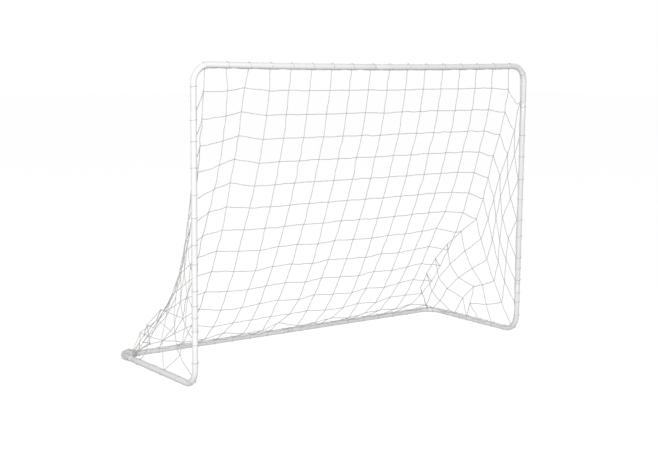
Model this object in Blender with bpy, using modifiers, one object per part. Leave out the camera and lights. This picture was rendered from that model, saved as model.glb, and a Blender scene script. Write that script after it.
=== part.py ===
"""A portable soccer goal of white steel tube, 2.13 m wide, 1.52 m high and 0.76 m deep.

Eight round tubes push together, each joint held by a sprung snap button, and a net of square
mesh closes the back and both sides. The front faces -Y, +X is to the right of someone who looks
into the goal, and the origin is on the ground under the middle of the goal.
"""

import math

import bmesh
import bpy
from mathutils import Matrix, Vector

# Overall size
WIDTH = 2.13
HEIGHT = 1.52
DEPTH = 0.76

# Tube
TUBE_R = 0.014
WALL = 0.001
TUBE_SIDES = 16
BEND_R = 0.085
BEND_STEPS = 6
CROSSBAR_SAG = 0.008
SAG_STEPS = 4

# Push-fit joints: the swaged end of one tube slides into the open end of the next
SPIGOT_R = 0.0127
SPIGOT_LENGTH = 0.055
SHOULDER = 0.004
POST_TOP_Z = 1.30
POST_FOOT_Z = 0.28
RAIL_JOINT_Y = 0.26

# Snap buttons
BUTTON_INSET = 0.030
BUTTON_R = 0.0035
BUTTON_HOLE_R = 0.004
BUTTON_TOP = 0.0168
BUTTON_DOME = 0.0015
BUTTON_BASE = 0.0095
BUTTON_FLANGE_R = 0.0045
BUTTON_FLANGE = 0.001
BUTTON_STEPS = 16

# V-shaped leaf spring behind each button
SPRING_WIDTH = 0.008
SPRING_THICKNESS = 0.0007
SPRING_SEAT = 0.0088
SPRING_SEAT_HALF = 0.006
SPRING_LENGTH = 0.032
SPRING_FOLD_R = 0.003
SPRING_FOLD_STEPS = 4
SPRING_HEEL = 0.0088

# Net: square mesh, with this many meshes across and down the back panel. Each strand is a
# four-sided bar as thick as this on the diagonal, which is as much cord as a 2.4 mm round one.
STRAND = 0.0036
COLUMNS = 16
ROWS = 14
MESH_ACROSS = 0.1205
NET_SHIFT = -0.030
NET_SAG = 0.190
SAG_LOST_AT_EDGES = 0.45
NET_GAP = 0.010
PANEL_GAP = 0.008

# Where each row of a side panel ends: its column, how far behind the post, and how high
SIDE_KNOTS = (
    (1, 0.0, 1.410),
    (2, 0.0, 1.234),
    (3, 0.0, 0.963),
    (4, 0.0, 0.727),
    (5, 0.0, 0.515),
    (5, 0.0, 0.326),
    (5, 0.0, 0.164),
    (5, 0.066, 0.0),
    (5, 0.230, 0.0),
    (5, 0.361, 0.0),
    (4, 0.480, 0.0),
    (3, 0.590, 0.0),
    (2, 0.655, 0.0),
    (1, 0.690, 0.0),
)

HALF_W = WIDTH / 2 - TUBE_R
HALF_D = DEPTH / 2 - TUBE_R
TOP_Z = HEIGHT - TUBE_R
RAIL_Z = TUBE_R

LEFT, RIGHT = -1, 1
SIDE_NAMES = {LEFT: "left", RIGHT: "right"}


def clear_scene():
    for obj in list(bpy.data.objects):
        bpy.data.objects.remove(obj, do_unlink=True)


def new_collection(name):
    collection = bpy.data.collections.new(name)
    bpy.context.scene.collection.children.link(collection)
    return collection


def principled(name, color, roughness, metallic):
    material = bpy.data.materials.new(name)
    material.use_nodes = True
    shader = material.node_tree.nodes["Principled BSDF"]
    shader.inputs["Base Color"].default_value = (*color, 1)
    shader.inputs["Roughness"].default_value = roughness
    shader.inputs["Metallic"].default_value = metallic
    return material


def add_object(name, data, collection, material=None):
    obj = bpy.data.objects.new(name, data)
    collection.objects.link(obj)
    if material:
        data.materials.append(material)
    return obj


def placed(origin, along, out):
    """A matrix whose X axis is along, whose Y axis is out, and whose origin is this point."""
    across = along.cross(out)
    turn = Matrix((along, out, across)).transposed()
    return Matrix.Translation(origin) @ turn.to_4x4()


def curve_to_mesh(name, points, settings, radii=None, tilt=0):
    """The mesh that a poly-line curve with these settings makes."""
    data = bpy.data.curves.new(name, "CURVE")
    for key, value in settings.items():
        setattr(data, key, value)
    spline = data.splines.new("POLY")
    spline.points.add(len(points) - 1)
    for i, point in enumerate(points):
        spline.points[i].co = (*point, 1)
        spline.points[i].radius = radii[i] if radii else 1
        spline.points[i].tilt = tilt
    guide = bpy.data.objects.new(name, data)
    bpy.context.scene.collection.objects.link(guide)
    bpy.context.view_layer.update()
    evaluated = guide.evaluated_get(bpy.context.evaluated_depsgraph_get())
    mesh = bpy.data.meshes.new_from_object(evaluated)
    mesh.name = name
    bpy.data.objects.remove(guide, do_unlink=True)
    bpy.data.curves.remove(data)
    return mesh


def bend(corner, before, after):
    """The arc that rounds a right-angled corner of a tube, met along before and left along after."""
    centre = corner + (after - before) * BEND_R
    turns = [math.radians(90) * step / BEND_STEPS for step in range(BEND_STEPS + 1)]
    return [centre + (before * math.sin(turn) - after * math.cos(turn)) * BEND_R for turn in turns]


def with_spigot(points):
    """The path begun with a swaged end that reaches SPIGOT_LENGTH past its first point."""
    mouth = points[0]
    inwards = (points[1] - mouth).normalized()
    path = [mouth - inwards * SPIGOT_LENGTH, mouth, mouth + inwards * SHOULDER] + points[1:]
    narrow = SPIGOT_R / TUBE_R
    return path, [narrow, narrow] + [1] * (len(path) - 2)


def tube(name, points, spigots, collection, material):
    """A hollow tube along these points. spigots holds "start", "end", both or neither."""
    path, radii = list(points), [1] * len(points)
    if "start" in spigots:
        path, radii = with_spigot(path)
    if "end" in spigots:
        ended, narrow = with_spigot(path[::-1])
        path = ended[::-1]
        radii = radii[:-1] + narrow[2::-1]
    # The polygon stands round the circle, so that its flats lie on the tube's true radius.
    settings = {
        "dimensions": "3D",
        "twist_mode": "MINIMUM",
        "bevel_depth": TUBE_R / math.cos(math.pi / TUBE_SIDES),
        "bevel_resolution": (TUBE_SIDES - 4) // 2,
    }
    mesh = curve_to_mesh(name, path, settings, radii, tilt=math.pi / TUBE_SIDES)
    mesh.shade_smooth()
    obj = add_object(name, mesh, collection, material)
    wall = obj.modifiers.new("Wall", "SOLIDIFY")
    wall.thickness = WALL
    wall.offset = -1
    wall.use_even_offset = True
    return obj


def frame_tubes(collection, material):
    """The eight tubes by name, each with the rims or spigots that its joints need."""
    right, back, up = Vector((1, 0, 0)), Vector((0, 1, 0)), Vector((0, 0, 1))
    sag_end = HALF_W - BEND_R
    tubes = {}
    for side, side_name in SIDE_NAMES.items():
        out = right * side
        top = Vector((side * HALF_W, -HALF_D, TOP_Z))
        foot = Vector((side * HALF_W, -HALF_D, RAIL_Z))
        rear = Vector((side * HALF_W, HALF_D, RAIL_Z))
        sag = [sag_end * step / SAG_STEPS for step in range(SAG_STEPS)]
        beam = [
            Vector((side * x, -HALF_D, TOP_Z - CROSSBAR_SAG * (1 - (x / sag_end) ** 2))) for x in sag
        ]
        post_top = Vector((top.x, top.y, POST_TOP_Z))
        post_foot = Vector((top.x, top.y, POST_FOOT_Z))
        rail_end = Vector((rear.x, RAIL_JOINT_Y, RAIL_Z))
        rear_middle = Vector((0, HALF_D, RAIL_Z))
        shapes = {
            "crossbar": (beam + bend(top, out, -up) + [post_top], ["end"]),
            "post": ([post_foot, post_top], ["start"]),
            "side_rail": ([post_foot] + bend(foot, -up, back) + [rail_end], []),
            "rear_bar": ([rail_end] + bend(rear, back, -out) + [rear_middle], ["start"]),
        }
        if side == RIGHT:
            shapes["crossbar"][1].append("start")
            shapes["rear_bar"][1].append("end")
        for piece, (points, spigots) in shapes.items():
            name = f"{piece}_{side_name}"
            tubes[name] = tube(name, points, spigots, collection, material)
    return tubes


def joints():
    """Each joint's name, mouth, way into the socket, way the button faces, and two tubes."""
    left, right = Vector((-1, 0, 0)), Vector((1, 0, 0))
    back, down = Vector((0, 1, 0)), Vector((0, 0, -1))
    middle = Vector((0, -HALF_D, TOP_Z - CROSSBAR_SAG))
    rear_middle = Vector((0, HALF_D, RAIL_Z))
    found = [
        ("crossbar", middle, left, back, ("crossbar_left", "crossbar_right")),
        ("rear_bar", rear_middle, left, -back, ("rear_bar_left", "rear_bar_right")),
    ]
    for side, side_name in SIDE_NAMES.items():
        inwards = right * -side
        post_top = Vector((side * HALF_W, -HALF_D, POST_TOP_Z))
        post_foot = Vector((side * HALF_W, -HALF_D, POST_FOOT_Z))
        rail_end = Vector((side * HALF_W, RAIL_JOINT_Y, RAIL_Z))
        crossbar, post = f"crossbar_{side_name}", f"post_{side_name}"
        rail, rear_bar = f"side_rail_{side_name}", f"rear_bar_{side_name}"
        found += [
            (f"post_top_{side_name}", post_top, down, back, (crossbar, post)),
            (f"post_foot_{side_name}", post_foot, down, back, (post, rail)),
            (f"rail_{side_name}", rail_end, -back, inwards, (rail, rear_bar)),
        ]
    return found


def drill(tubes, name, centre, out, cutters):
    """Cuts the button's hole through the near walls of both tubes of a joint."""
    near, far = WALL, 2 * TUBE_R
    mesh = bpy.data.meshes.new(f"hole_{name}")
    shape = bmesh.new()
    bmesh.ops.create_cone(
        shape,
        cap_ends=True,
        segments=TUBE_SIDES,
        radius1=BUTTON_HOLE_R,
        radius2=BUTTON_HOLE_R,
        depth=far - near,
    )
    shape.to_mesh(mesh)
    shape.free()
    cutter = add_object(f"hole_{name}", mesh, cutters)
    cutter.location = centre + out * (near + far) / 2
    cutter.rotation_euler = out.to_track_quat("Z", "Y").to_euler()
    cutter.hide_render = True
    cutter.display_type = "WIRE"
    for piece in tubes:
        cut = piece.modifiers.new(f"Hole {name}", "BOOLEAN")
        cut.operation = "DIFFERENCE"
        cut.object = cutter


def snap_button(name, centre, out, collection, material):
    """A domed pin with a flange, turned about its own axis. Its origin is on the tube's axis."""
    neck = BUTTON_BASE + BUTTON_FLANGE
    dome = [
        (BUTTON_R * math.sin(turn), BUTTON_TOP - BUTTON_DOME * (1 - math.cos(turn)))
        for turn in (math.radians(30 * step) for step in range(4))
    ]
    profile = dome + [(BUTTON_R, neck), (BUTTON_FLANGE_R, neck)]
    profile += [(BUTTON_FLANGE_R, BUTTON_BASE), (0, BUTTON_BASE)]
    mesh = bpy.data.meshes.new(name)
    edges = [(i, i + 1) for i in range(len(profile) - 1)]
    mesh.from_pydata([(x, 0, z) for x, z in profile], edges, [])
    obj = add_object(name, mesh, collection, material)
    obj.location = centre
    obj.rotation_euler = out.to_track_quat("Z", "Y").to_euler()
    turned = obj.modifiers.new("Turned", "SCREW")
    turned.steps = turned.render_steps = BUTTON_STEPS
    turned.use_merge_vertices = True
    turned.merge_threshold = 0.00001
    turned.use_smooth_shade = True
    return obj


def leaf_spring(name, centre, along, out, collection, material):
    """A strip folded to a V inside the spigot: one leg under the button, the other on the far wall."""
    fold = [math.radians(90 - 180 * step / SPRING_FOLD_STEPS) for step in range(SPRING_FOLD_STEPS + 1)]
    reach = -SPRING_LENGTH
    profile = [(SPRING_SEAT_HALF, SPRING_SEAT), (-SPRING_SEAT_HALF, SPRING_SEAT)]
    profile += [(reach - SPRING_FOLD_R * math.cos(a), SPRING_FOLD_R * math.sin(a)) for a in fold]
    profile += [(-SPRING_SEAT_HALF, -SPRING_HEEL), (SPRING_SEAT_HALF, -SPRING_HEEL)]
    settings = {"dimensions": "2D", "fill_mode": "NONE", "extrude": SPRING_WIDTH / 2}
    mesh = curve_to_mesh(name, [(x, y, 0) for x, y in profile], settings)
    obj = add_object(name, mesh, collection, material)
    obj.matrix_world = placed(centre, along, out)
    strip = obj.modifiers.new("Strip", "SOLIDIFY")
    strip.thickness = SPRING_THICKNESS
    strip.offset = 0
    return obj


def net_point(down, across):
    """A point of the back net: down it from 0 to 1, and across it from -1 to 1."""
    high = Vector((-HALF_D, TOP_Z - CROSSBAR_SAG - TUBE_R - NET_GAP))
    low = Vector((HALF_D - TUBE_R - NET_GAP, RAIL_Z + NET_GAP))
    chord = low - high
    inwards = Vector((chord.y, -chord.x)).normalized()
    sag = NET_SAG * (1 - SAG_LOST_AT_EDGES * across**2)
    depth, height = high + chord * down + inwards * (4 * sag * down * (1 - down))
    return Vector((NET_SHIFT + across * COLUMNS / 2 * MESH_ACROSS, depth, height))


def as_netting(obj):
    """Turns each edge of a sheet's mesh into a strand."""
    strands = obj.modifiers.new("Strands", "WIREFRAME")
    strands.thickness = STRAND
    strands.use_even_offset = False
    strands.use_boundary = True
    strands.use_replace = True
    strands.offset = 0


def back_net(collection, material):
    """The panel from the crossbar to the rear bar, which hangs inside the straight line."""
    mesh = bpy.data.meshes.new("net_back")
    shape = bmesh.new()
    bmesh.ops.create_grid(shape, x_segments=COLUMNS, y_segments=ROWS, size=1)
    for vertex in shape.verts:
        vertex.co = net_point((1 - vertex.co.y) / 2, vertex.co.x)
    shape.to_mesh(mesh)
    shape.free()
    as_netting(add_object("net_back", mesh, collection, material))


def side_net(side, collection, material):
    """A triangular panel of the same mesh, between the back panel's edge, the post and the rail."""
    name = f"net_side_{SIDE_NAMES[side]}"
    clear = TUBE_R + NET_GAP
    corners = {}
    shape = bmesh.new()
    for row in range(ROWS + 1):
        edge = net_point(row / ROWS, side) + Vector((side * PANEL_GAP, 0, 0))
        corners[0, row] = shape.verts.new(edge)
        if row == ROWS:
            break
        last, reach, height = SIDE_KNOTS[row]
        knot = Vector((side * HALF_W, max(clear, reach) - HALF_D, max(clear, height) + RAIL_Z))
        for column in range(1, last + 1):
            corners[column, row] = shape.verts.new(edge.lerp(knot, column / last))
    for row in range(ROWS):
        for column in range(SIDE_KNOTS[row][0] + 1):
            square = [(column, row), (column + 1, row), (column + 1, row + 1), (column, row + 1)]
            kept = [corners[at] for at in square if at in corners]
            if len(kept) > 2:
                shape.faces.new(kept)
    mesh = bpy.data.meshes.new(name)
    shape.to_mesh(mesh)
    shape.free()
    as_netting(add_object(name, mesh, collection, material))


def main():
    clear_scene()
    goal = new_collection("soccer_goal")
    cutters = new_collection("cutters")
    paint = principled("white_powder_coat", (0.86, 0.86, 0.86), 0.35, 0.0)
    steel = principled("spring_steel", (0.62, 0.62, 0.63), 0.3, 1.0)
    cord = principled("net_cord", (0.9, 0.9, 0.9), 0.8, 0.0)
    tubes = frame_tubes(goal, paint)
    for name, mouth, along, out, pair in joints():
        centre = mouth + along * BUTTON_INSET
        drill([tubes[piece] for piece in pair], name, centre, out, cutters)
        snap_button(f"snap_button_{name}", centre, out, goal, steel)
        leaf_spring(f"button_spring_{name}", centre, along, out, goal, steel)
    back_net(goal, cord)
    for side in SIDE_NAMES:
        side_net(side, goal, cord)


main()
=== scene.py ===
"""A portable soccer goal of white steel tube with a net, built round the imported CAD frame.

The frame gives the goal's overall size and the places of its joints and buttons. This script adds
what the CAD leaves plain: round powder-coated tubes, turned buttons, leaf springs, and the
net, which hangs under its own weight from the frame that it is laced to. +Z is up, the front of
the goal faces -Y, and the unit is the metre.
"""

import math

import bmesh
import bpy
import numpy as np
from mathutils import Matrix, Vector


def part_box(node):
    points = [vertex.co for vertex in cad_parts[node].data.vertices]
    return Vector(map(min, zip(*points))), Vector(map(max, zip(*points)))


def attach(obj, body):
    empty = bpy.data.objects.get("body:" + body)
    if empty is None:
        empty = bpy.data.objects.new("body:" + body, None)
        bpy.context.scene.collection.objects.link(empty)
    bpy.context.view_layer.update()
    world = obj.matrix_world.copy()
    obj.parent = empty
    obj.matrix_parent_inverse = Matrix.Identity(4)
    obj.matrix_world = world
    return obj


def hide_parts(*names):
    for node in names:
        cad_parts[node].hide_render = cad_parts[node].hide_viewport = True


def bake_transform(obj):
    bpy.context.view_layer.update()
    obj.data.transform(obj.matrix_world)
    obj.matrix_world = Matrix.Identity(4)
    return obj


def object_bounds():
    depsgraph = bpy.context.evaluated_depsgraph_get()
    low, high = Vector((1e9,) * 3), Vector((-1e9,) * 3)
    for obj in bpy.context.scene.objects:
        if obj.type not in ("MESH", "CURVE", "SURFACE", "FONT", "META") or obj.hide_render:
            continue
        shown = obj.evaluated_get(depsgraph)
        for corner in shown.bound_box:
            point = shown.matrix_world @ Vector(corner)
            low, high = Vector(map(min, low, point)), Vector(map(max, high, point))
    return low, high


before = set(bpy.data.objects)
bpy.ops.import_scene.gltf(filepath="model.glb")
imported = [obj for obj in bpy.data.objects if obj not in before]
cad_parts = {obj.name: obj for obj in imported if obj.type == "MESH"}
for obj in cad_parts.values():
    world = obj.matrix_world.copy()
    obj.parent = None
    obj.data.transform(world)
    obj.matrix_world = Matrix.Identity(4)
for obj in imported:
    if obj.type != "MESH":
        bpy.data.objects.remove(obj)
CAD_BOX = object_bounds()

# The frame: its outer sizes come from the CAD's box, and its joints from the boxes of the tubes
LOW, HIGH = (np.array(corner) for corner in CAD_BOX)
TUBE_R = 0.014
WALL = 0.001
BEND_R = 0.085
CROSSBAR_SAG = 0.008
HALF_W = (HIGH[0] - LOW[0]) / 2 - TUBE_R
HALF_D = (HIGH[1] - LOW[1]) / 2 - TUBE_R
TOP_Z = HIGH[2] - TUBE_R
RAIL_Z = TUBE_R
POST_TOP_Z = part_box("post_left")[1].z
POST_FOOT_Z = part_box("side_rail_left")[1].z
RAIL_JOINT_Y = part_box("side_rail_left")[1].y
SIDES = {"left": -1, "right": 1}

# Push-fit joints. The button's heights are from the tube's centre line.
SPIGOT_R = 0.0127
SPIGOT_LENGTH = 0.055
SPIGOT_LEAD = 0.003
SPIGOT_TAPER = 0.0006
SHOULDER = 0.004
RIM = 0.0003
RIM_CORNER = 0.00009
HOLE_R = 0.004
HOLE_FROM = 0.006
HOLE_TO = 0.020
BUTTON_R = 0.0035
BUTTON_TOP = 0.0168
BUTTON_BASE = 0.0095
BUTTON_HEAD = 0.0018
BUTTON_FLANGE_R = 0.0045
BUTTON_FLANGE = 0.001
BUTTON_CHAMFER = 0.0002
BUTTON_INSET = 0.030
BUTTON_CLEARANCE = 0.014

# How finely round things are cut
TUBE_SIDES = 48
BEND_SPANS = 22
BEAM_POINTS = 13
STRAIGHT_POINTS = 7
BUTTON_SIDES = 40
HEAD_SPANS = 8
HOLE_SIDES = 32
CORD_SIDES = 6
SHARP_ANGLE = math.radians(32)
MERGE_DISTANCE = 1e-6
SAME_PLACE = 1e-5
ROUNDING = 1e-9

# The net's cord and its meshes over the back
COLUMNS = 16
ROWS = 14
FIRST_COLUMN_X = -0.993
MESH_ACROSS = 0.1205
CORD_R = 0.0018
HOLD = TUBE_R + CORD_R

# Lengths under TINY count as none, and paths steeper than STEEP take their first normal from X
TINY = 1e-12
STEEP = 0.8

X, Y, Z = np.eye(3)


def unit(v):
    v = np.asarray(v, float)
    return v / np.maximum(np.linalg.norm(v, axis=-1, keepdims=True), TINY)


# ---------------------------------------------------------------- meshes


def add_object(name, data):
    obj = bpy.data.objects.new(name, data)
    bpy.context.scene.collection.objects.link(obj)
    return obj


def level_axes(out):
    """Two unit vectors square to a level direction and to each other."""
    one = unit(np.cross(out, Z))
    return one, np.cross(out, one)


def sweep_frames(points, closed=False):
    """Two unit normals at each point of a batch of paths, carried along without twist."""
    if closed:
        tangents = unit(np.roll(points, -1, 1) - np.roll(points, 1, 1))
    else:
        tangents = unit(np.gradient(points, axis=1))
    first = tangents[:, 0]
    seed = np.where(np.abs(first[:, 2:3]) < STEEP, Z, X)
    normal = unit(seed - (seed * first).sum(-1, keepdims=True) * first)
    normals = [normal]
    for i in range(1, points.shape[1]):
        t = tangents[:, i]
        normal = unit(normal - (normal * t).sum(-1, keepdims=True) * t)
        normals.append(normal)
    normals = np.stack(normals, 1)
    binormals = np.cross(tangents, normals)
    if closed:
        t = tangents[:, 0]
        last = unit(normal - (normal * t).sum(-1, keepdims=True) * t)
        turn = np.arctan2((last * binormals[:, 0]).sum(-1), (last * normals[:, 0]).sum(-1))
        share = np.arange(points.shape[1]) / points.shape[1]
        angle = -(turn[:, None] * share)[..., None]
        normals, binormals = (
            normals * np.cos(angle) + binormals * np.sin(angle),
            binormals * np.cos(angle) - normals * np.sin(angle),
        )
    return normals, binormals


def ring_faces(spans, count, sides):
    """Ring number, place in the ring, and corners of each face between neighbouring rings."""
    i, k = np.meshgrid(np.arange(spans), np.arange(sides), indexing="ij")
    nxt, knx = (i + 1) % count, (k + 1) % sides
    return i, k, np.stack([i * sides + k, i * sides + knx, nxt * sides + knx, nxt * sides + k], -1)


def sweep(points, radius, sides, closed=False):
    """Round cords along a batch of paths: (vertices, faces, one UV per corner, end faces)."""
    points = np.asarray(points, float)
    batch, count = points.shape[:2]
    normals, binormals = sweep_frames(points, closed)
    around = np.linspace(0, 2 * math.pi, sides, endpoint=False)
    radius = np.broadcast_to(np.asarray(radius, float), (batch, count))[..., None, None]
    rings = points[:, :, None] + radius * (
        normals[:, :, None] * np.cos(around)[:, None]
        + binormals[:, :, None] * np.sin(around)[:, None]
    )
    spans = count if closed else count - 1
    step = np.linalg.norm(np.roll(points, -1, 1) - points, axis=-1)
    along = np.concatenate([np.zeros((batch, 1)), np.cumsum(step, 1)], 1)
    i, k, quad = ring_faces(spans, count, sides)
    first = np.arange(batch) * count * sides
    faces = (quad.reshape(-1, 4)[None] + first[:, None, None]).reshape(-1, 4)
    u = np.stack([k, k + 1, k + 1, k], -1) / sides
    v = np.stack([i, i, i + 1, i + 1], -1)
    uv = np.stack([np.broadcast_to(u, (batch, *u.shape)), along[:, v]], -1).reshape(-1, 2)
    caps = []
    if not closed:
        base = first[:, None]
        caps = [base + np.arange(sides)[::-1], base + (count - 1) * sides + np.arange(sides)]
    return rings.reshape(-1, 3), faces, uv, caps


def cords(name, batches, material):
    """One mesh object of many swept cords. Each batch is (paths, radius, sides, closed)."""
    verts, quads, uvs, ends, base = [], [], [], [], 0
    for paths, radius, sides, closed in batches:
        v, f, uv, caps = sweep(paths, radius, sides, closed)
        verts.append(v)
        quads.append(f + base)
        uvs.append(uv)
        ends += [row + base for cap in caps for row in cap]
        base += len(v)
    verts, quads, uvs = np.concatenate(verts), np.concatenate(quads), np.concatenate(uvs)
    mesh = bpy.data.meshes.new(name)
    sizes = np.concatenate([np.full(len(quads), 4), [len(e) for e in ends]]).astype(np.int32)
    corners = np.concatenate([quads.ravel(), *ends]).astype(np.int32)
    mesh.vertices.add(len(verts))
    mesh.vertices.foreach_set("co", verts.astype(np.float32).ravel())
    mesh.loops.add(len(corners))
    mesh.loops.foreach_set("vertex_index", corners)
    mesh.polygons.add(len(sizes))
    starts = np.concatenate([[0], np.cumsum(sizes)[:-1]]).astype(np.int32)
    mesh.polygons.foreach_set("loop_start", starts)
    mesh.polygons.foreach_set("loop_total", sizes)
    layer = mesh.uv_layers.new(name="cord")
    uv = np.zeros((len(corners), 2), np.float32)
    uv[: len(uvs)] = uvs
    layer.data.foreach_set("uv", uv.ravel())
    mesh.update(calc_edges=True)
    mesh.shade_smooth()
    mesh.validate()
    mesh.materials.append(material)
    return add_object(name, mesh)


def rings_mesh(name, centres, normals, binormals, radii, sides, material):
    """A closed surface through a closed chain of rings, such as a tube's outside, rim and bore."""
    around = np.linspace(0, 2 * math.pi, sides, endpoint=False)
    rings = centres[:, None] + radii[:, None, None] * (
        normals[:, None] * np.cos(around)[:, None] + binormals[:, None] * np.sin(around)[:, None]
    )
    quads = ring_faces(len(centres), len(centres), sides)[2]
    mesh = bpy.data.meshes.new(name)
    mesh.from_pydata(rings.reshape(-1, 3).tolist(), [], quads.reshape(-1, 4).tolist())
    mesh.update()
    mesh.materials.append(material)
    return add_object(name, mesh)


# ---------------------------------------------------------------- materials


def new_material(name, **settings):
    """A new material, its node tree and its shader, whose sockets are named by the settings."""
    material = bpy.data.materials.new(name)
    material.use_nodes = True
    tree = material.node_tree
    shader = tree.nodes["Principled BSDF"]
    for key, value in settings.items():
        shader.inputs[key.replace("_", " ").title().replace("Ior", "IOR")].default_value = value
    return material, tree, shader


def node(tree, kind, inputs=None, **settings):
    """A new shader node. Each of its inputs takes a value or is linked to another node's socket."""
    made = tree.nodes.new("ShaderNode" + kind)
    for key, value in settings.items():
        setattr(made, key, value)
    for key, value in (inputs or {}).items():
        if isinstance(value, bpy.types.NodeSocket):
            tree.links.new(value, made.inputs[key])
        else:
            made.inputs[key].default_value = value
    return made


def noise(tree, coordinates, scale, detail=3.0, roughness=0.5):
    inputs = {"Vector": coordinates, "Scale": scale, "Detail": detail, "Roughness": roughness}
    return node(tree, "TexNoise", inputs).outputs["Fac"]


def ramp(tree, value, low, high, out_low, out_high):
    """The value, taken from the range low to high into the range out_low to out_high."""
    inputs = {
        "Value": value,
        "From Min": low,
        "From Max": high,
        "To Min": out_low,
        "To Max": out_high,
    }
    return node(tree, "MapRange", inputs).outputs["Result"]


def mixed(tree, share, first, second):
    """The first colour, with this share of the second."""
    made = node(tree, "Mix", {"Factor": share, "A": first, "B": second}, data_type="RGBA")
    return made.outputs["Result"]


def maths(tree, operation, first, second=None):
    """One arithmetic step on one or two values."""
    inputs = {0: first} if second is None else {0: first, 1: second}
    return node(tree, "Math", inputs, operation=operation).outputs[0]


def stretched(tree, coordinates, scale):
    """The coordinates, scaled by a different amount along each axis."""
    return node(tree, "Mapping", {"Vector": coordinates, "Scale": scale}).outputs["Vector"]


def bump(tree, shader, height, strength, distance, normal=None):
    """Relief on the shader, over another bump's normal if there is one. Returns its own normal."""
    inputs = {"Height": height, "Strength": strength, "Distance": distance}
    if normal:
        inputs["Normal"] = normal
    made = node(tree, "Bump", inputs)
    tree.links.new(made.outputs["Normal"], shader.inputs["Normal"])
    return made.outputs["Normal"]


def powder_coat():
    """White powder coat: orange-peel skin, a little unevenness of tone, and faint scuffs."""
    material, tree, shader = new_material(
        "white_powder_coat", coat_weight=0.12, coat_roughness=0.18, ior=1.5
    )
    at = node(tree, "TexCoord").outputs["Object"]
    tone = noise(tree, at, 9.0, 4.0)
    mottle = ramp(tree, noise(tree, at, 160.0, 2.0), 0.3, 0.8, 0.0, 0.12)
    long_marks = stretched(tree, at, (1.0, 1.0, 0.35))
    scuffs = ramp(tree, noise(tree, long_marks, 70.0, 8.0, 0.72), 0.66, 0.74, 0.0, 1.0)
    clean = mixed(tree, tone, (0.83, 0.835, 0.84, 1), (0.87, 0.87, 0.865, 1))
    speckled = mixed(tree, mottle, clean, (0.78, 0.78, 0.775, 1))
    scuffed = ramp(tree, scuffs, 0.0, 1.0, 0.0, 0.22)
    worn = mixed(tree, scuffed, speckled, (0.62, 0.61, 0.59, 1))
    tree.links.new(worn, shader.inputs["Base Color"])
    dull = node(tree, "Math", {0: ramp(tree, tone, 0.3, 0.7, 0.27, 0.36), 1: scuffs}, operation="ADD")
    dull.use_clamp = True
    tree.links.new(ramp(tree, dull.outputs[0], 0.25, 1.3, 0.27, 0.5), shader.inputs["Roughness"])
    skin = bump(tree, shader, noise(tree, at, 620.0, 2.0), 0.22, 0.0003)
    bump(tree, shader, noise(tree, at, 45.0, 2.0), 0.10, 0.0006, skin)
    return material


BRAID_LEAN = 3.0
BRAID_PER_METRE = 330.0


def braided_cord(name, groove_painted_shade, fibre_color, grime_color):
    """White braided cord, with painted shade darkening the braid's grooves. In the UV map, u goes
    once round the cord and v is metres along it.
    """
    material, tree, shader = new_material(name, sheen_weight=0.15, sheen_roughness=0.4)
    uv = node(tree, "UVMap", uv_map="cord").outputs["UV"]
    weave = []
    for lean in (BRAID_LEAN, -BRAID_LEAN):
        turned = stretched(tree, uv, (lean, BRAID_PER_METRE, 1.0))
        split = node(tree, "SeparateXYZ", {"Vector": turned})
        turns = maths(tree, "ADD", split.outputs["X"], split.outputs["Y"])
        weave.append(maths(tree, "SINE", maths(tree, "MULTIPLY", turns, 2 * math.pi)))
    relief = maths(tree, "MAXIMUM", weave[0], weave[1])
    at = node(tree, "TexCoord").outputs["Object"]
    grime = ramp(tree, noise(tree, at, 24.0, 4.0, 0.6), 0.35, 0.75, 0.0, 0.25)
    fuzz = noise(tree, at, 2600.0, 1.0)
    # Painted shade: the braid's grooves take the darker groove colour, and its raised strands take
    # the fibre colour.
    braid_colour_with_groove_shade = mixed(tree, ramp(tree, relief, -0.4, 0.8, 0.0, 1.0), groove_painted_shade, fibre_color)
    tree.links.new(mixed(tree, grime, braid_colour_with_groove_shade, grime_color), shader.inputs["Base Color"])
    tree.links.new(ramp(tree, fuzz, 0.3, 0.7, 0.62, 0.82), shader.inputs["Roughness"])
    strands = bump(tree, shader, relief, 0.5, 0.00025)
    bump(tree, shader, fuzz, 0.2, 0.0001, strands)
    return material


def plated_steel(name, light, dark, roughness, scratch_scale):
    """Zinc-plated or spring steel: crystalline patches, fine scratches, and duller spots."""
    material, tree, shader = new_material(name, metallic=1.0)
    at = node(tree, "TexCoord").outputs["Object"]
    patches = node(tree, "TexVoronoi", {"Vector": at, "Scale": 420.0}).outputs["Color"]
    tone = noise(tree, at, 180.0, 4.0)
    patch = node(tree, "SeparateColor", {"Color": patches}).outputs["Red"]
    share = ramp(tree, maths(tree, "MULTIPLY", patch, tone), 0.0, 0.6, 0.0, 1.0)
    tree.links.new(mixed(tree, share, dark, light), shader.inputs["Base Color"])
    dull = ramp(tree, tone, 0.3, 0.7, roughness - 0.07, roughness + 0.1)
    tree.links.new(dull, shader.inputs["Roughness"])
    scratches = stretched(tree, at, scratch_scale)
    bump(tree, shader, noise(tree, scratches, 900.0, 4.0), 0.12, 0.0001)
    return material


PAINT = powder_coat()
# The net's cord is the same white cord as the lacing, coloured darker all over: painted shade, a
# shaded copy of the lacing's colours.
NET_CORD_PAINTED_SHADE = braided_cord(
    "net_cord", (0.40, 0.40, 0.395, 1), (0.68, 0.68, 0.67, 1), (0.50, 0.495, 0.475, 1)
)
LACING = braided_cord(
    "lacing_cord", (0.48, 0.48, 0.47, 1), (0.78, 0.78, 0.77, 1), (0.56, 0.555, 0.53, 1)
)
ZINC = plated_steel(
    "zinc_plate", (0.72, 0.73, 0.74, 1), (0.52, 0.53, 0.55, 1), 0.28, (1.0, 1.0, 1.0)
)
SPRING = plated_steel(
    "spring_steel", (0.50, 0.50, 0.51, 1), (0.33, 0.33, 0.35, 1), 0.34, (1.0, 1.0, 8.0)
)


# ---------------------------------------------------------------- the frame's centre line

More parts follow.
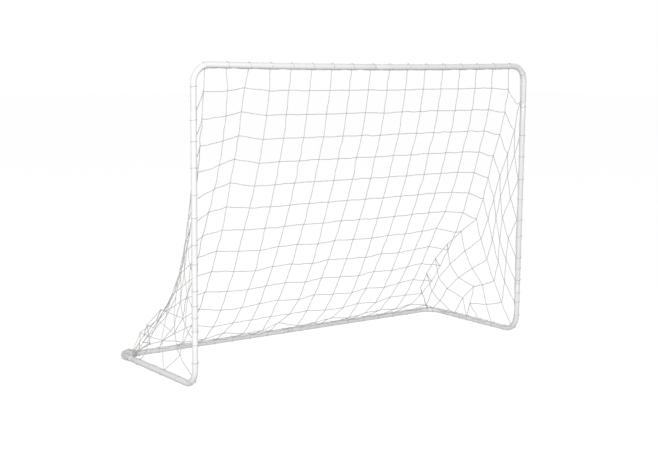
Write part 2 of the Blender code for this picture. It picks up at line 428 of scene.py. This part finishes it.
# Half of the frame, from the middle of the crossbar out and down, back along the ground, and in
# to the middle of the rear bar. The other half is its mirror image.
BEAM = HALF_W - BEND_R
ARC = BEND_R * math.pi / 2
POST = (TOP_Z - BEND_R) - (RAIL_Z + BEND_R)
RAIL = 2 * HALF_D - 2 * BEND_R
STARTS = np.cumsum([0, BEAM, ARC, POST, ARC, RAIL, ARC, BEAM])
TOP_BEND_S, POST_S, FOOT_BEND_S, RAIL_S, REAR_BEND_S, REAR_BAR_S, REAR_MIDDLE_S = STARTS[1:]


def frame_line(s, side):
    """The centre line's point and direction at this distance along one half of the frame."""
    stage = int(np.clip(np.searchsorted(STARTS, s, "right") - 1, 0, len(STARTS) - 2))
    d = s - STARTS[stage]
    turn = d / BEND_R
    sin, cos = math.sin(turn), math.cos(turn)
    ground = RAIL_Z + BEND_R
    if stage == 0:
        p = (d, -HALF_D, TOP_Z - CROSSBAR_SAG * (1 - (d / BEAM) ** 2))
        t = (1, 0, 2 * CROSSBAR_SAG * d / BEAM**2)
    elif stage == 1:
        p, t = (BEAM + BEND_R * sin, -HALF_D, TOP_Z - BEND_R * (1 - cos)), (cos, 0, -sin)
    elif stage == 2:
        p, t = (HALF_W, -HALF_D, TOP_Z - BEND_R - d), (0, 0, -1)
    elif stage == 3:
        p, t = (HALF_W, -HALF_D + BEND_R * (1 - cos), ground - BEND_R * sin), (0, sin, -cos)
    elif stage == 4:
        p, t = (HALF_W, -HALF_D + BEND_R + d, RAIL_Z), (0, 1, 0)
    elif stage == 5:
        p, t = (HALF_W - BEND_R * (1 - cos), HALF_D - BEND_R + BEND_R * sin, RAIL_Z), (-sin, cos, 0)
    else:
        p, t = (BEAM - d, HALF_D, RAIL_Z), (-1, 0, 0)
    mirror = np.array([side, 1, 1])
    return np.array(p, float) * mirror, unit(np.array(t, float) * mirror)


def post_at(z):
    """How far along the half frame this height on the post is."""
    return POST_S + (TOP_Z - BEND_R) - z


def rail_at(y):
    """How far along the half frame this place on the rail is."""
    return RAIL_S + y + HALF_D - BEND_R


# At each of STARTS, the way from the centre line of the right half to where the net's edge lies
NET_WAYS = np.array(
    [
        (0, 0.35, -1),
        (0, 0.35, -1),
        (-1, 0.35, 0),
        (-1, 0.35, 0),
        (-0.8, 0, 0.7),
        (-0.8, 0, 0.7),
        (0, -0.8, 0.7),
        (0, -0.8, 0.7),
    ]
)


def net_side_of_tube(s, side):
    """The direction from the centre line to the side of the tube that the net's edge lies on."""
    way = np.array([np.interp(s, STARTS, NET_WAYS[:, axis]) for axis in range(3)]) * (side, 1, 1)
    tangent = frame_line(s, side)[1]
    return unit(way - (way @ tangent) * tangent)


def on_tube(s, side, lift=HOLD):
    return frame_line(s, side)[0] + net_side_of_tube(s, side) * lift


# ---------------------------------------------------------------- tubes, buttons and springs


def tube_line(start, end, side):
    """Centre-line points between two distances along a half frame, close together in the bends."""
    marks = {start, end}
    for bend in (TOP_BEND_S, FOOT_BEND_S, REAR_BEND_S):
        marks |= {bend + ARC * i / BEND_SPANS for i in range(BEND_SPANS + 1)}
    marks |= set(np.linspace(0, BEAM, BEAM_POINTS))
    for a, b in ((POST_S, FOOT_BEND_S), (RAIL_S, REAR_BEND_S), (REAR_BAR_S, REAR_MIDDLE_S)):
        marks |= set(np.linspace(a, b, STRAIGHT_POINTS))
    kept = sorted(m for m in marks if start - ROUNDING <= m <= end + ROUNDING)
    kept = [m for i, m in enumerate(kept) if i == 0 or m - kept[i - 1] > SAME_PLACE]
    return [frame_line(m, side)[0] for m in kept]


def swaged(line, radii):
    """The same tube, with a spigot before its first point that slides into the next tube."""
    mouth, inward = line[0], unit(line[1] - line[0])
    steps = [
        (-SPIGOT_LENGTH, SPIGOT_R - SPIGOT_TAPER),
        (-SPIGOT_LENGTH + SPIGOT_LEAD, SPIGOT_R),
        (0, SPIGOT_R),
    ]
    for f in (0.25, 0.5, 0.75, 1):
        steps.append((SHOULDER * f, SPIGOT_R + (TUBE_R - SPIGOT_R) * (3 * f * f - 2 * f**3)))
    return [mouth + inward * d for d, _ in steps] + line[1:], [r for _, r in steps] + radii[1:]


def tube_piece(name, line, spigots):
    """A hollow tube with rounded rims, and a swaged end wherever it slides into the next one."""
    radii = [TUBE_R] * len(line)
    for end in spigots:
        if end == "start":
            line, radii = swaged(line, radii)
        else:
            line, radii = (part[::-1] for part in swaged(line[::-1], radii[::-1]))
    line, outside = np.array(line), np.array(radii)
    inside = outside - WALL
    normals, binormals = (a[0] for a in sweep_frames(line[None]))
    tangents = np.cross(normals, binormals)
    last = len(line) - 1

    # A ring round point i, shifted along the tube
    def ring(i, shift, radius):
        return line[i] + tangents[i] * shift, i, radius

    chain = [ring(0, 0, outside[0] - RIM), ring(0, RIM_CORNER, outside[0] - RIM_CORNER)]
    chain += [ring(0, RIM, outside[0])]
    chain += [ring(i, 0, outside[i]) for i in range(1, last)]
    chain += [ring(last, -RIM, outside[last])]
    chain += [ring(last, -RIM_CORNER, outside[last] - RIM_CORNER), ring(last, 0, outside[last] - RIM)]
    chain += [ring(last, 0, inside[last] + RIM_CORNER), ring(last, -RIM, inside[last])]
    chain += [ring(i, 0, inside[i]) for i in range(last - 1, 0, -1)]
    chain += [ring(0, RIM, inside[0]), ring(0, 0, inside[0] + RIM_CORNER)]
    centres = np.array([c for c, _, _ in chain])
    index = [i for _, i, _ in chain]
    sizes = np.array([r for _, _, r in chain])
    return rings_mesh(name, centres, normals[index], binormals[index], sizes, TUBE_SIDES, PAINT)


def turned_button(name, foot, out):
    """A round-headed pin with a flange and a fine chamfer, turned about its own axis."""
    profile = []
    for i in range(1, HEAD_SPANS + 1):
        turn = math.pi / 2 * i / HEAD_SPANS
        drop = BUTTON_HEAD * (1 - math.cos(turn))
        profile.append((BUTTON_R * math.sin(turn), BUTTON_TOP - drop))
    neck = BUTTON_BASE + BUTTON_FLANGE
    profile += [
        (BUTTON_R, neck + BUTTON_CHAMFER),
        (BUTTON_R + BUTTON_CHAMFER, neck),
        (BUTTON_FLANGE_R - BUTTON_CHAMFER, neck),
        (BUTTON_FLANGE_R, neck - BUTTON_CHAMFER),
        (BUTTON_FLANGE_R, BUTTON_BASE + BUTTON_CHAMFER),
        (BUTTON_FLANGE_R - BUTTON_CHAMFER, BUTTON_BASE),
    ]
    sides = BUTTON_SIDES
    one, two = level_axes(out)
    verts, faces = [], []
    for radius, height in profile:
        for k in range(sides):
            a = 2 * math.pi * k / sides
            verts.append(foot + out * height + (one * math.cos(a) + two * math.sin(a)) * radius)
    last = len(profile) - 1
    for i in range(last):
        for k in range(sides):
            j = (k + 1) % sides
            faces.append((i * sides + k, (i + 1) * sides + k, (i + 1) * sides + j, i * sides + j))
    top, bottom = len(verts), len(verts) + 1
    verts += [foot + out * BUTTON_TOP, foot + out * BUTTON_BASE]
    for k in range(sides):
        j = (k + 1) % sides
        faces.append((top, k, j))
        faces.append((bottom, last * sides + j, last * sides + k))
    mesh = bpy.data.meshes.new(name)
    mesh.from_pydata([tuple(v) for v in verts], [], faces)
    mesh.materials.append(ZINC)
    obj = add_object(name, mesh)
    finish_edges(obj)
    return obj


def finish_edges(obj):
    """Outward faces, smooth across the round ones and sharp at the real edges."""
    shape = bmesh.new()
    shape.from_mesh(obj.data)
    bmesh.ops.remove_doubles(shape, verts=shape.verts, dist=MERGE_DISTANCE)
    bmesh.ops.recalc_face_normals(shape, faces=shape.faces)
    shape.to_mesh(obj.data)
    shape.free()
    obj.data.shade_smooth()
    obj.data.set_sharp_from_angle(angle=SHARP_ANGLE)


def drill(obj, foot, out):
    """Cuts a button's hole through the near wall."""
    cutter = hole_cutter(foot, out)
    cut = obj.modifiers.new("hole", "BOOLEAN")
    cut.operation = "DIFFERENCE"
    cut.solver = "EXACT"
    cut.object = cutter
    bpy.context.view_layer.update()
    mesh = bpy.data.meshes.new_from_object(obj.evaluated_get(bpy.context.evaluated_depsgraph_get()))
    obj.modifiers.clear()
    old, obj.data = obj.data, mesh
    mesh.name = obj.name
    bpy.data.meshes.remove(old)
    shape = cutter.data
    bpy.data.objects.remove(cutter)
    bpy.data.meshes.remove(shape)


def hole_cutter(foot, out):
    """A short rod through the near wall only."""
    sides = HOLE_SIDES
    one, two = level_axes(out)
    turns = [2 * math.pi * k / sides for k in range(sides)]
    rim = [(one * math.cos(a) + two * math.sin(a)) * HOLE_R for a in turns]
    verts = [foot + out * h + r for h in (HOLE_FROM, HOLE_TO) for r in rim]
    faces = [(k, (k + 1) % sides, sides + (k + 1) % sides, sides + k) for k in range(sides)]
    faces += [tuple(range(sides))[::-1], tuple(range(sides, 2 * sides))]
    mesh = bpy.data.meshes.new("cutter")
    mesh.from_pydata([tuple(v) for v in verts], [], faces)
    obj = add_object("cutter", mesh)
    finish_edges(obj)
    return obj


def leaf_spring(joint):
    """The folded leaf behind a button."""
    cad = f"button_spring_{joint}"
    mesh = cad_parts[cad].data.copy()
    mesh.materials.clear()
    mesh.materials.append(SPRING)
    spring = add_object(f"leaf_{joint}", mesh)
    finish_edges(spring)
    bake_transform(spring)
    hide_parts(cad)


def build_tubes():
    """The eight tubes by their CAD names, with spigots where each one slides into another."""
    post_top = post_at(POST_TOP_Z)
    post_foot = post_at(POST_FOOT_Z)
    rail_end = rail_at(RAIL_JOINT_Y)
    tubes = {}
    for name, side in SIDES.items():
        middle = {"crossbar": ["start"], "rear_bar": ["end"]} if side > 0 else {}
        spans = {
            "crossbar": (0, post_top, ["end"]),
            "post": (post_top, post_foot, ["end"]),
            "side_rail": (post_foot, rail_end, []),
            "rear_bar": (rail_end, REAR_MIDDLE_S, ["start"]),
        }
        for kind, (start, end, spigots) in spans.items():
            cad = f"{kind}_{name}"
            line = tube_line(start, end, side)
            tubes[cad] = tube_piece(f"tube_{cad}", line, spigots + middle.get(kind, []))
    return tubes


def build_frame():
    pieces = build_tubes()
    joints = {
        "crossbar": (Y, ("crossbar_left", "crossbar_right")),
        "rear_bar": (-Y, ("rear_bar_left", "rear_bar_right")),
    }
    for name, side in SIDES.items():
        joints[f"post_top_{name}"] = (Y, (f"crossbar_{name}", f"post_{name}"))
        joints[f"post_foot_{name}"] = (Y, (f"post_{name}", f"side_rail_{name}"))
        joints[f"rail_{name}"] = (-side * X, (f"side_rail_{name}", f"rear_bar_{name}"))
    for joint, (out, pair) in joints.items():
        low, high = (np.array(corner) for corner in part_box(f"snap_button_{joint}"))
        foot = (low + high) / 2 - out * (BUTTON_TOP + BUTTON_BASE) / 2
        for cad in pair:
            drill(pieces[cad], foot, out)
        button = turned_button(f"button_{joint}", foot, out)
        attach(button, f"button_{joint}")
        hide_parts(f"snap_button_{joint}")
        leaf_spring(joint)
    for cad, piece in pieces.items():
        finish_edges(piece)
        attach(piece, "frame")
        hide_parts(cad)


build_frame()


# ---------------------------------------------------------------- the net

# The net is COLUMNS by ROWS meshes over the back, with a stepped flap at each side. Knot (c, r) is
# column c of row r. The flaps' columns are negative at the left and over COLUMNS at the right.
# FLAP_ENDS says how many meshes wide each flap is at each row. -1 is the left and 1 the right.
FLAP_ENDS = {
    -1: (1, 2, 3, 4, 5, 5, 5, 5, 4, 4, 3, 3, 2, 1),
    1: (1, 2, 3, 4, 5, 5, 5, 5, 5, 5, 4, 3, 2, 1),
}

# Where the net's edge is tied. Down each post the ties' steps shorten while the flap widens, and are
# about a mesh apart below that. On the right rail they are evenly spaced, and on the left rail they
# crowd towards the bunched corner. The shares are of a bend's length.
LAST_WIDENING_ROW = 4
LAST_POST_ROW = 6
FIRST_RAIL_ROW = 8
FIRST_BEND_ROW = 12
TOP_TIE_Z = {-1: 1.160, 1: 1.125}
POST_STEP = 0.245
POST_STEP_LOSS = 0.015
FOOT_STEP = 0.1275
RIGHT_REACH = 0.187
RIGHT_STEP = 0.107
LEFT_REACH = 0.690
LEFT_GAP = 0.370
LEFT_CROWDING = 1 / 3
BEND_SHARE = {-1: 0.17, 1: 0.38}
BEND_SHARE_STEP = 0.28
FOOT_SHARE = 0.5
FIRST_COLUMN_BELOW = -0.964
MESH_BELOW = 0.1135

# The cord's cut length between knots
BAR_ACROSS = 0.1217
BAR_DOWN = 0.1205
BAR_EDGE = 0.1167
FLAP_ACROSS = {-1: 0.117, 1: 0.1135}
FLAP_DOWN = {-1: 0.1115, 1: 0.1163}
TOP_LOOP = 0.0157
LENGTH_SPREAD = 0.012

# How the net settles: the pieces that each bar is cut into, and its steps in time. Gravity eases
# late on, so that the net's weight stretches the bars less.
PIECES = 4
STEPS = 5000
STEP_TIME = 1 / 400
GRAVITY = 2.0
EASE_AFTER = 0.6
EASE_GRAVITY = 0.15
STIFFNESS = 0.1
DAMPING = 0.93
TOP_SPEED = 1.5
CONTACT_EVERY = 3
FIRST_SAG = 0.18
EDGE_SAG_LOSS = 0.4
FIRST_WAVER = 0.003
FLOOR_GAP = 0.0003

# The look of the cord: its curves, knots, turns round the tube, edge and bunched corner
CURVE_SPANS = 3
CRINKLE = 0.0011
CRINKLE_GAP = 0.0002
KNOT_POINTS = 22
KNOT_SIZE = 0.0023
TIE_KNOT_SIZE = 0.0024
KNOT_CORD_R = CORD_R * 0.92
KNOT_LEAN = 0.25
TURN_POINTS = 26
TURN_PITCH = 0.004
TURN_BULGE = 0.0008
BULGE_SHARPNESS = 8
SPARE_TURN_PITCH = 0.007
SPARE_TURN_GAP = 0.09
TIE_LIFT = 0.0014
EDGE_POINTS = 14
EDGE_LIFT = 0.0004
EDGE_WAVER = 0.35
EDGE_WAVES = 5.0
GATHER_TURNS = 30
GATHER_SPAN = (0.12, 0.88)
GATHER_LIFT = 0.013
GATHER_LEAN = 0.35


def attachment(column, row):
    """Where a knot at the net's edge is tied: (distance along the half frame, side)."""
    if row == 0:
        x = FIRST_COLUMN_X + MESH_ACROSS * column
        return abs(x), 1 if x > 0 else -1
    if row == ROWS:
        x = FIRST_COLUMN_BELOW + MESH_BELOW * column
        return REAR_MIDDLE_S - abs(x), 1 if x > 0 else -1
    side = -1 if column < 0 else 1
    if row <= LAST_POST_ROW:
        wide = min(row, LAST_WIDENING_ROW) - 1
        z = TOP_TIE_Z[side] - POST_STEP * wide + POST_STEP_LOSS * wide * (wide - 1) / 2
        z -= FOOT_STEP * max(row - LAST_WIDENING_ROW, 0)
        return post_at(z), side
    if row < FIRST_RAIL_ROW:
        return FOOT_BEND_S + ARC * FOOT_SHARE, side
    if row < FIRST_BEND_ROW:
        place = row - FIRST_RAIL_ROW
        if side < 0:
            reach = LEFT_REACH - LEFT_GAP * LEFT_CROWDING**place
        else:
            reach = RIGHT_REACH + RIGHT_STEP * place
        return rail_at(reach - HALF_D), side
    share = BEND_SHARE[side] + BEND_SHARE_STEP * (row - FIRST_BEND_ROW)
    return REAR_BEND_S + ARC * share, side


def net_layout():
    """The knots' numbers and first places, which are tied, and the bars between them."""
    knots, places, tied = {}, [], []
    for r in range(ROWS + 1):
        for c in range(COLUMNS + 1):
            high, low = on_tube(*attachment(c, 0)), on_tube(*attachment(c, ROWS))
            down, across = r / ROWS, 2 * c / COLUMNS - 1
            chord = low - high
            inward = unit(np.array([0, chord[2], -chord[1]]))
            sag = FIRST_SAG * (1 - EDGE_SAG_LOSS * across**2) * 4 * down * (1 - down)
            knots[c, r] = len(places)
            places.append(high + chord * down + inward * sag)
            tied.append((c, r) if r in (0, ROWS) else None)
    for side in (-1, 1):
        for r in range(ROWS):
            edge = places[knots[0 if side < 0 else COLUMNS, r]]
            last = FLAP_ENDS[side][r]
            corner = (-last if side < 0 else COLUMNS + last, r)
            end = on_tube(*attachment(*corner))
            for i in range(1, last + 1):
                c = -i if side < 0 else COLUMNS + i
                knots[c, r] = len(places)
                places.append(edge + (end - edge) * i / last)
                tied.append((c, r) if i == last else None)
    bars = []
    for (c, r), i in knots.items():
        for dc, dr in ((1, 0), (0, 1)):
            j = knots.get((c + dc, r + dr))
            if j is not None and not (tied[i] and tied[j]):
                bars.append((i, j, c, r, dr))
    return knots, np.array(places), tied, bars


def cut_lengths(bars, rng):
    """Each bar's cut length, a little uneven from bar to bar."""
    lengths = []
    for _, _, c, r, down in bars:
        flap = c < 0 or c + (1 - down) > COLUMNS
        if flap:
            length = (FLAP_DOWN if down else FLAP_ACROSS)[-1 if c < 0 else 1]
        elif down:
            length = BAR_EDGE if c in (0, COLUMNS) else BAR_DOWN
        else:
            length = BAR_ACROSS
        if down and r == 0:
            length -= TOP_LOOP
        lengths.append(length * (1 + LENGTH_SPREAD * rng.uniform(-1, 1)))
    return np.array(lengths)


def straight_tubes():
    """The ends of the straight tubes that the net can lie against."""
    ends = []
    for side in (-1, 1):
        ends.append((frame_line(RAIL_S, side)[0], frame_line(REAR_BEND_S, side)[0]))
        ends.append((frame_line(POST_S, side)[0], frame_line(FOOT_BEND_S, side)[0]))
    ends.append((frame_line(REAR_BAR_S, -1)[0], frame_line(REAR_BAR_S, 1)[0]))
    return ends


def keep_outside(points, free, tubes):
    """Moves the free points up off the floor and out of the tubes, in place."""
    points[free, 2] = np.maximum(points[free, 2], CORD_R + FLOOR_GAP)
    for a, b in tubes:
        line = b - a
        share = np.clip((points - a) @ line / (line @ line), 0, 1)
        away = points - (a + share[:, None] * line)
        far = np.sqrt((away * away).sum(1))
        near = (far < HOLD) & free
        points[near] += away[near] * ((HOLD - far[near]) / far[near])[:, None]


def hang_net():
    """The net at rest: the knots' numbers, their ties, all points, and each bar's points."""
    rng = np.random.default_rng(5)
    knots, places, tied, bars = net_layout()
    lengths = cut_lengths(bars, rng)
    ends = np.array([(i, j) for i, j, *_ in bars])
    downs = np.array([bar[4] for bar in bars], bool)
    shares = np.arange(1, PIECES) / PIECES
    from_a = places[ends[:, 0], None] * (1 - shares)[:, None]
    inner = from_a + places[ends[:, 1], None] * shares[:, None]
    inner += rng.normal(0, FIRST_WAVER, inner.shape)
    inner_index = len(places) + np.arange(len(bars) * (PIECES - 1)).reshape(len(bars), -1)
    chain = np.concatenate([ends[:, :1], inner_index, ends[:, 1:]], 1)
    points = np.concatenate([places, inner.reshape(-1, 3)])
    weight = np.ones(len(points))
    weight[: len(places)] = [0.0 if t else 1.0 for t in tied]
    # Pieces that share no point, so that each group is pulled to length in one go
    groups = []
    for down in (False, True):
        rest = lengths[downs == down] / PIECES
        for k in range(PIECES):
            a, b = chain[downs == down, k], chain[downs == down, k + 1]
            total = np.maximum(weight[a] + weight[b], ROUNDING)
            groups.append((a, b, rest, (weight[a] / total)[:, None], (weight[b] / total)[:, None]))
    free = weight > 0
    tubes = straight_tubes()
    velocity = np.zeros_like(points)
    gravity = GRAVITY
    for step in range(STEPS):
        if step == int(STEPS * EASE_AFTER):
            gravity *= EASE_GRAVITY
        before = points.copy()
        velocity[free, 2] -= gravity * STEP_TIME
        points[free] += velocity[free] * STEP_TIME
        for a, b, rest, share_a, share_b in groups if step % 2 else groups[::-1]:
            gap = points[b] - points[a]
            length = np.sqrt((gap * gap).sum(1))
            gap *= ((length - rest) / (length + TINY))[:, None]
            points[a] += gap * share_a
            points[b] -= gap * share_b
        middle = chain[:, 1:-1]
        halfway = (points[chain[:, :-2]] + points[chain[:, 2:]]) / 2
        points[middle] += STIFFNESS * (halfway - points[middle])
        if step % CONTACT_EVERY == 0:
            keep_outside(points, free, tubes)
        velocity = np.clip((points - before) / STEP_TIME * DAMPING, -TOP_SPEED, TOP_SPEED)
    return knots, tied, points, chain


def smooth_chain(chains, per_piece):
    """Catmull-Rom curves through a batch of chains."""
    before = 2 * chains[:, :1] - chains[:, 1:2]
    after = 2 * chains[:, -1:] - chains[:, -2:-1]
    p = np.concatenate([before, chains, after], 1)
    out = []
    for k in range(chains.shape[1] - 1):
        p0, p1, p2, p3 = p[:, k], p[:, k + 1], p[:, k + 2], p[:, k + 3]
        for i in range(per_piece):
            t = i / per_piece
            square = (2 * p0 - 5 * p1 + 4 * p2 - p3) * t**2
            cube = (3 * p1 - p0 - 3 * p2 + p3) * t**3
            out.append(0.5 * (2 * p1 + (p2 - p0) * t + square + cube))
    out.append(chains[:, -1])
    return np.stack(out, 1)


def knot_paths(centres, ways, size):
    """A small tight knot at each point: a closed three-lobed curve, turned to face its way."""
    t = np.linspace(0, 2 * math.pi, KNOT_POINTS, endpoint=False)
    lobes = (np.sin(t) + 2 * np.sin(2 * t), np.cos(t) - 2 * np.cos(2 * t), -1.5 * np.sin(3 * t))
    shape = np.stack(lobes, -1) / 3
    one = unit(np.cross(ways, Z + 0.01 * X))
    two = np.cross(ways, one)
    basis = np.stack([one, two, ways], 1)
    return centres[:, None] + size * np.einsum("pk,bkc->bpc", shape, basis)


def round_tube(s, side, angle, radius):
    """A point round the tube here, turned by this angle from the side that the net lies on."""
    centre, along = frame_line(s, side)
    normal = net_side_of_tube(s, side)
    across = np.cross(along, normal)
    return centre + (normal * math.cos(angle) + across * math.sin(angle)) * radius


def turn_path(s, side, pitch, bulge=0.0):
    """One turn of cord round the tube here. Its ends meet where the net lies, over the bulge."""
    out = []
    for i in range(TURN_POINTS + 1):
        share = i / TURN_POINTS
        angle = 2 * math.pi * share
        radius = HOLD + bulge * math.cos(angle) ** BULGE_SHARPNESS
        out.append(round_tube(s + pitch * (share - 0.5), side, angle, radius))
    return np.array(out)


def edge_path(s_from, s_to, side, phase):
    """The net's edge cord, which lies along the tube and wavers a little from side to side."""
    out = []
    for share in np.linspace(0, 1, EDGE_POINTS):
        angle = EDGE_WAVER * math.sin(math.pi * share) * math.sin(phase + EDGE_WAVES * share)
        out.append(round_tube(s_from + (s_to - s_from) * share, side, angle, HOLD + EDGE_LIFT))
    return np.array(out)


def button_places(side):
    """How far along this half of the frame each of its buttons is."""
    places = [
        post_at(POST_TOP_Z) + BUTTON_INSET,
        post_at(POST_FOOT_Z) + BUTTON_INSET,
        rail_at(RAIL_JOINT_Y) - BUTTON_INSET,
    ]
    if side < 0:
        places += [BUTTON_INSET, REAR_MIDDLE_S - BUTTON_INSET]
    return places


def clear_of_buttons(s, side):
    """The place nearest to s where a turn of cord leaves every button uncovered."""
    for place in button_places(side):
        if abs(s - place) < BUTTON_CLEARANCE:
            return place + math.copysign(BUTTON_CLEARANCE, s - place)
    return s


def gathered_corner(rng, side):
    """Turns of cord that bunch the net's spare corner on the outside of a rear bend."""
    turn = np.linspace(0, 2 * math.pi, TURN_POINTS, endpoint=False)
    out = []
    for share in np.linspace(*GATHER_SPAN, GATHER_TURNS):
        centre, along = frame_line(REAR_BEND_S + ARC * share, side)
        away = unit(np.cross(along, Z)) * side
        lift = GATHER_LIFT * math.sin(math.pi * share) ** 2 * rng.uniform(0.6, 1.1)
        radius = HOLD + lift + rng.uniform(0.0004, 0.003)
        lean = rng.uniform(-GATHER_LEAN, GATHER_LEAN)
        ring = away * (radius * np.cos(turn) + lift)[:, None] + Z * (radius * np.sin(turn))[:, None]
        ring = ring + along * (radius * lean * np.cos(turn + rng.uniform(0, 6)))[:, None]
        out.append(centre + ring)
    out = np.array(out)
    out[..., 2] = np.maximum(out[..., 2], CORD_R)
    return out


def crinkled(curves, rng):
    """The same curves with the small bends that the cord keeps from being folded in its bag."""
    waves = rng.normal(0, 1, (len(curves), 2, 3)) * CRINKLE
    along = np.linspace(0, 1, curves.shape[1])
    bow = np.sin(math.pi * along)[:, None] * np.sin(2 * math.pi * along + 1)[:, None]
    curves = curves + waves[:, None, 0] * bow
    curves = curves + waves[:, None, 1] * np.sin(2 * math.pi * along)[:, None] * 0.8
    curves[..., 2] = np.maximum(curves[..., 2], CORD_R + CRINKLE_GAP)
    return curves


def mesh_knots(knots, tied, points, rng):
    """A knot at each crossing that isn't tied to the frame, facing about square to the net."""
    index = np.array([i for i, t in enumerate(tied) if t is None])
    grid = {i: key for key, i in knots.items()}
    ways = []
    for i in index:
        c, r = grid[i]
        side_a, side_b = knots.get((c - 1, r), i), knots.get((c + 1, r), i)
        up, down = knots.get((c, r - 1), i), knots.get((c, r + 1), i)
        ways.append(np.cross(points[side_b] - points[side_a], points[down] - points[up]))
    ways = unit(unit(np.array(ways)) + rng.normal(0, KNOT_LEAN, (len(ways), 3)))
    return knot_paths(points[index], ways, KNOT_SIZE)


def lace(tied, rng):
    """The cords that hold the net: a turn and a knot at each tie, the edge, and spare turns."""
    turns, ties = [], []
    for key in tied:
        if key is None:
            continue
        s, side = attachment(*key)
        pitch = TURN_PITCH * rng.uniform(0.6, 1.6)
        turns.append(turn_path(clear_of_buttons(s, side), side, pitch, TURN_BULGE))
        ties.append(on_tube(s, side, HOLD + TIE_LIFT))
    ways = unit(rng.normal(0, 1, (len(ties), 3)))
    tie_knots = knot_paths(np.array(ties), ways, TIE_KNOT_SIZE)
    edges = []
    for side in (-1, 1):
        marks = sorted(attachment(*key)[0] for key in tied if key and attachment(*key)[1] == side)
        marks = [0.0] + marks + [REAR_MIDDLE_S]
        for a, b in zip(marks, marks[1:]):
            edges.append(edge_path(a, b, side, rng.uniform(0, 6)))
            if POST_S < (a + b) / 2 < REAR_BEND_S and b - a > SPARE_TURN_GAP:
                spare = clear_of_buttons(a + (b - a) * rng.uniform(0.42, 0.58), side)
                turns.append(turn_path(spare, side, SPARE_TURN_PITCH * rng.uniform(0.7, 1.5)))
    batches = [
        (gathered_corner(rng, -1), CORD_R, CORD_SIDES, True),
        (np.array(turns), CORD_R, CORD_SIDES, False),
        (np.array(edges), CORD_R, CORD_SIDES, False),
        (tie_knots, KNOT_CORD_R, CORD_SIDES, True),
    ]
    return cords("net_lacing", batches, LACING)


def build_net():
    knots, tied, points, chain = hang_net()
    rng = np.random.default_rng(11)
    curves = crinkled(smooth_chain(points[chain], CURVE_SPANS), rng)
    strands = cords("net_mesh", [(curves, CORD_R, CORD_SIDES, False)], NET_CORD_PAINTED_SHADE)
    knot_cords = mesh_knots(knots, tied, points, rng)
    knots_piece = cords("net_knots", [(knot_cords, KNOT_CORD_R, CORD_SIDES, True)], NET_CORD_PAINTED_SHADE)
    lacing = lace(tied, rng)
    for piece in (strands, knots_piece, lacing):
        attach(piece, "frame")
    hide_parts("net_back", "net_side_left", "net_side_right")


build_net()


# ---------------------------------------------------------------- camera, floor and light

CAMERA_PLACE = (-3.808, -5.122, 1.539)
CAMERA_YAW = 36.55
CAMERA_PITCH = 8.07
CAMERA_ROLL = 0.535
CAMERA_LENS = 65.88
CAMERA_FAR = 100
FLOOR_REACH = 40
FLOOR_GREY = (0.30, 0.30, 0.30, 1)
FLOOR_GLOW = 0.84
WHITE = (1, 1, 1, 1)
DOME_LOW = 0.46
DOME_HIGH = 0.50
KEY_PLACE = (-4.6, -5.6, 3.0)
KEY_TARGET = (-0.4, 0, 0.7)
KEY_SIZE = (2.6, 2.2)
KEY_POWER = 370


def add_camera():
    data = bpy.data.cameras.new("camera")
    data.sensor_width = 36
    data.lens = CAMERA_LENS
    data.clip_end = CAMERA_FAR
    camera = add_object("camera", data)
    yaw, pitch, roll = (math.radians(a) for a in (CAMERA_YAW, CAMERA_PITCH, CAMERA_ROLL))
    turn = Matrix.Rotation(-yaw, 4, "Z")
    turn = turn @ Matrix.Rotation(math.pi / 2 - pitch, 4, "X") @ Matrix.Rotation(roll, 4, "Z")
    camera.matrix_world = Matrix.Translation(CAMERA_PLACE) @ turn
    bpy.context.scene.camera = camera


def add_floor():
    """A pale floor with an even glow of its own. It throws no light back onto the goal."""
    mesh = bpy.data.meshes.new("floor")
    reach = FLOOR_REACH
    corners = [(-reach, -reach, 0), (reach, -reach, 0), (reach, reach, 0), (-reach, reach, 0)]
    mesh.from_pydata(corners, [], [(0, 1, 2, 3)])
    material, _, _ = new_material(
        "studio_floor",
        base_color=FLOOR_GREY,
        roughness=1.0,
        specular_ior_level=0.0,
        emission_color=WHITE,
        emission_strength=FLOOR_GLOW,
    )
    mesh.materials.append(material)
    floor = add_object("floor", mesh)
    floor.visible_diffuse = False
    floor.visible_glossy = False


def add_area(name, place, target, size, power):
    """A rectangular lamp that faces its target."""
    data = bpy.data.lights.new(name, "AREA")
    data.shape = "RECTANGLE"
    data.size, data.size_y = size
    data.energy = power
    light = add_object(name, data)
    way = Vector(target) - Vector(place)
    turn = way.to_track_quat("-Z", "Y").to_matrix().to_4x4()
    light.matrix_world = Matrix.Translation(place) @ turn


def add_light():
    """A pale dome for the object's soft light, a white backdrop to look at, and one large lamp."""
    world = bpy.data.worlds.new("studio")
    bpy.context.scene.world = world
    world.use_nodes = True
    tree = world.node_tree
    tree.nodes.clear()
    backdrop = node(tree, "Background", {"Color": WHITE, "Strength": 1.0})
    way = node(tree, "TexCoord").outputs["Generated"]
    height = node(tree, "SeparateXYZ", {"Vector": way}).outputs["Z"]
    dome = ramp(tree, height, -0.5, 0.6, DOME_LOW, DOME_HIGH)
    ambient = node(tree, "Background", {"Color": WHITE, "Strength": dome})
    seen = node(tree, "LightPath").outputs["Is Camera Ray"]
    mix = node(tree, "MixShader", {0: seen, 1: ambient.outputs[0], 2: backdrop.outputs[0]})
    output = node(tree, "OutputWorld")
    tree.links.new(mix.outputs[0], output.inputs["Surface"])
    add_area("key", KEY_PLACE, KEY_TARGET, KEY_SIZE, KEY_POWER)


add_camera()
add_floor()
add_light()
bpy.context.scene.view_settings.view_transform = "Standard"
